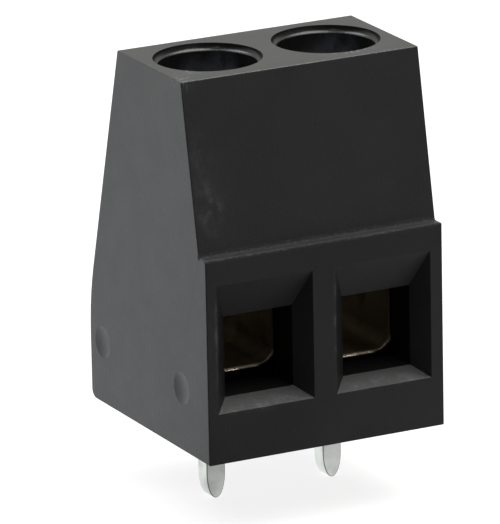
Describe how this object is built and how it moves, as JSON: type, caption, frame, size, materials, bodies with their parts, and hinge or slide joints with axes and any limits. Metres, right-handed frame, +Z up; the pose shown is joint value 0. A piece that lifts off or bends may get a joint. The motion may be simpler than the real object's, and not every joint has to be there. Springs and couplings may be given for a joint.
{
  "type": "pcb screw terminal",
  "caption": "Screw terminal block for a circuit board: black moulded housing, a funnel and a screw shaft for each wire, rising brass clamping cages and solder pins.",
  "frame": {"origin": "on the board seat, midway between the two solder pins", "axes": "+X from the left pole to the right one as seen from the wire side, +Y to the back, away from the wires, +Z up from the board along the screws"},
  "size_m": [0.0102, 0.0101, 0.0177],
  "materials": {
    "housing_plastic": "satin moulded polyamide, black",
    "cage_brass": "bare drawn brass, machined ends",
    "contact_tin": "matt tin plate on a copper alloy strip",
    "screw_zinc": "zinc-plated steel, passivated"
  },
  "bodies": {
    "housing": {"housing": "housing_plastic", "contact_left": "contact_tin", "contact_right": "contact_tin"},
    "screw_left": {"screw_left": "screw_zinc"},
    "cage_left": {"cage_left": "cage_brass"},
    "screw_right": {"screw_right": "screw_zinc"},
    "cage_right": {"cage_right": "cage_brass"}
  },
  "joints": [
    {"name": "screw_left_turn", "type": "hinge", "parent": "housing", "child": "screw_left", "pos_m": [-0.00254, -0.0004, 0.012], "axis": [0, 0, -1], "range_deg": [-416.1, 2104.1]},
    {"name": "cage_left_lift", "type": "slide", "parent": "housing", "child": "cage_left", "axis": [0, 0, 1], "range_m": [-0.00052, 0.00263]},
    {"name": "screw_right_turn", "type": "hinge", "parent": "housing", "child": "screw_right", "pos_m": [0.00254, -0.0004, 0.012], "axis": [0, 0, -1], "range_deg": [-208.1, 2312.1]},
    {"name": "cage_right_lift", "type": "slide", "parent": "housing", "child": "cage_right", "axis": [0, 0, 1], "range_m": [-0.00026, 0.00289]}
  ],
  "couplings": [
    {"joint": "screw_left_turn", "follows": "cage_left_lift", "rad_per_m": 13963},
    {"joint": "screw_right_turn", "follows": "cage_right_lift", "rad_per_m": 13963}
  ]
}
